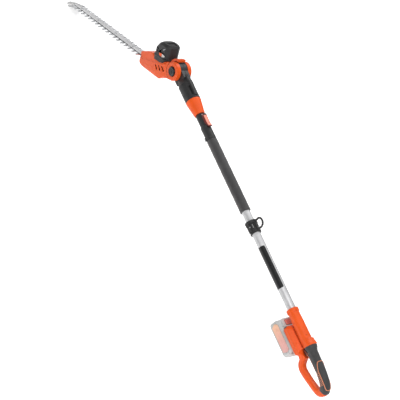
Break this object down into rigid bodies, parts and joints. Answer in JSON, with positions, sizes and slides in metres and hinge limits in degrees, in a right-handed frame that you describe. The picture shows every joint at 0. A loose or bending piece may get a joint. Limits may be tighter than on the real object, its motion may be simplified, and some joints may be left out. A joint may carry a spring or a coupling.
{
  "type": "cordless telescopic pole hedge trimmer",
  "caption": "Telescopic pole hedge trimmer with a tilting double-edged cutting head, a D handle with trigger and a slide-on battery.",
  "frame": {"origin": "centre of the strap eye, on the tool's middle plane", "axes": "+X along the pole towards the cutting head, +Z towards the tool's top, +Y to its left"},
  "size_m": [1.8635, 0.0768, 0.4523],
  "materials": {
    "orange_plastic": "fine moulded texture, satin",
    "dark_plastic": "fine moulded texture, matt",
    "foam": "closed-cell foam, matt",
    "soft_grip": "soft over-moulding, matt",
    "tube_metal": "anodised, satin",
    "band": "printed film, satin",
    "steel": "ground",
    "screw_steel": "zinc plated",
    "pack_grey": "fine moulded texture, matt",
    "pack_label": "printed film",
    "white_plastic": "smooth",
    "copper": "wound",
    "brass": "machined",
    "cell_wrap": "shrink film",
    "cable": "smooth"
  },
  "bodies": {
    "root": {"outer_tube": "tube_metal", "foam_grip": "foam", "clamp_sleeve": "dark_plastic", "clamp_screw": "screw_steel", "lever_pin": "screw_steel", "strap_clamp_top": "dark_plastic", "strap_clamp_bottom": "dark_plastic", "strap_screws": "screw_steel", "tube_band": "band", "handle_left": "orange_plastic", "handle_right": "orange_plastic", "handle_screws": "screw_steel", "grip_sleeve": "soft_grip", "trigger_pin": "screw_steel", "trigger_spring": "screw_steel", "lock_off_spring": "screw_steel", "power_switch": "dark_plastic", "terminal_block": "dark_plastic", "handle_lead": "cable"},
    "lever": {"clamp_lever": "orange_plastic"},
    "trigger": {"trigger": "dark_plastic"},
    "lock_off": {"lock_off_button": "dark_plastic"},
    "battery": {"pack_tray": "pack_grey", "pack_cover": "pack_grey", "pack_cells": "cell_wrap", "pack_contacts": "brass", "pack_screws": "screw_steel", "pack_panels": "pack_label", "release_spring": "screw_steel"},
    "release": {"release_button": "pack_label"},
    "mast": {"inner_tube": "tube_metal", "slide_guide": "white_plastic", "cone_collar": "orange_plastic", "neck_left": "dark_plastic", "neck_right": "dark_plastic", "neck_screws": "screw_steel", "coiled_cable": "cable"},
    "head": {"head_left": "orange_plastic", "head_right": "orange_plastic", "head_screws": "screw_steel", "hinge_bolt": "screw_steel", "motor_cover": "dark_plastic", "motor_can": "steel", "motor_magnets": "dark_plastic", "gearbox_frame": "tube_metal", "gear_bearings": "brass", "blade_base": "steel", "guide_bar": "tube_metal", "blade_bolts": "screw_steel", "tip_guard": "tube_metal", "tilt_spring": "screw_steel", "head_lead": "cable"},
    "tilt_lock": {"tilt_button": "dark_plastic"},
    "blade_upper": {"upper_blade": "steel"},
    "blade_lower": {"lower_blade": "steel"},
    "gear": {"drive_gear": "steel"},
    "rotor": {"rotor": "copper"}
  },
  "joints": [
    {"name": "telescope", "type": "slide", "parent": "root", "child": "mast", "axis": [1, 0, 0], "range_m": [0, 0.55]},
    {"name": "clamp_lever_turn", "type": "hinge", "parent": "root", "child": "lever", "pos_m": [0.438, 0, -0.0185], "axis": [0, 1, 0], "range_deg": [0, 100]},
    {"name": "trigger_pull", "type": "hinge", "parent": "root", "child": "trigger", "pos_m": [-0.424, 0, -0.037], "axis": [0, 1, 0], "range_deg": [0, 12], "stiffness_Nm_per_rad": 1.5, "springref_deg": -11.46, "deforming": ["trigger_spring"]},
    {"name": "lock_off_push", "type": "slide", "parent": "root", "child": "lock_off", "axis": [0, 1, 0], "range_m": [0, 0.004], "stiffness_N_per_m": 800, "springref_m": -0.003, "deforming": ["lock_off_spring"]},
    {"name": "battery_slide", "type": "slide", "parent": "root", "child": "battery", "axis": [1, 0, 0], "range_m": [0, 0.1]},
    {"name": "release_push", "type": "slide", "parent": "battery", "child": "release", "axis": [0, 0, -1], "range_m": [0, 0.0025], "stiffness_N_per_m": 1200, "springref_m": -0.002, "deforming": ["release_spring"]},
    {"name": "head_tilt", "type": "hinge", "parent": "mast", "child": "head", "pos_m": [0.635, 0, -0.038], "axis": [0, 1, 0], "range_deg": [-60, 45]},
    {"name": "tilt_button_push", "type": "slide", "parent": "head", "child": "tilt_lock", "axis": [0, -1, 0], "range_m": [0, 0.005], "stiffness_N_per_m": 1500, "springref_m": -0.003, "deforming": ["tilt_spring"]},
    {"name": "upper_blade_slide", "type": "slide", "parent": "head", "child": "blade_upper", "axis": [0.8788, 0, -0.4772], "range_m": [-0.008, 0.008]},
    {"name": "lower_blade_slide", "type": "slide", "parent": "head", "child": "blade_lower", "axis": [0.8788, 0, -0.4772], "range_m": [-0.008, 0.008]},
    {"name": "gear_spin", "type": "hinge", "parent": "head", "child": "gear", "pos_m": [0.72564, 0, -0.10997], "axis": [0.4772, 0, 0.8788], "continuous": true},
    {"name": "rotor_spin", "type": "hinge", "parent": "head", "child": "rotor", "pos_m": [0.71234, 0, -0.07999], "axis": [0.4772, 0, 0.8788], "continuous": true}
  ],
  "couplings": [
    {"joint": "lower_blade_slide", "follows": "upper_blade_slide", "ratio": -1},
    {"joint": "rotor_spin", "follows": "gear_spin", "ratio": -3.3333}
  ]
}
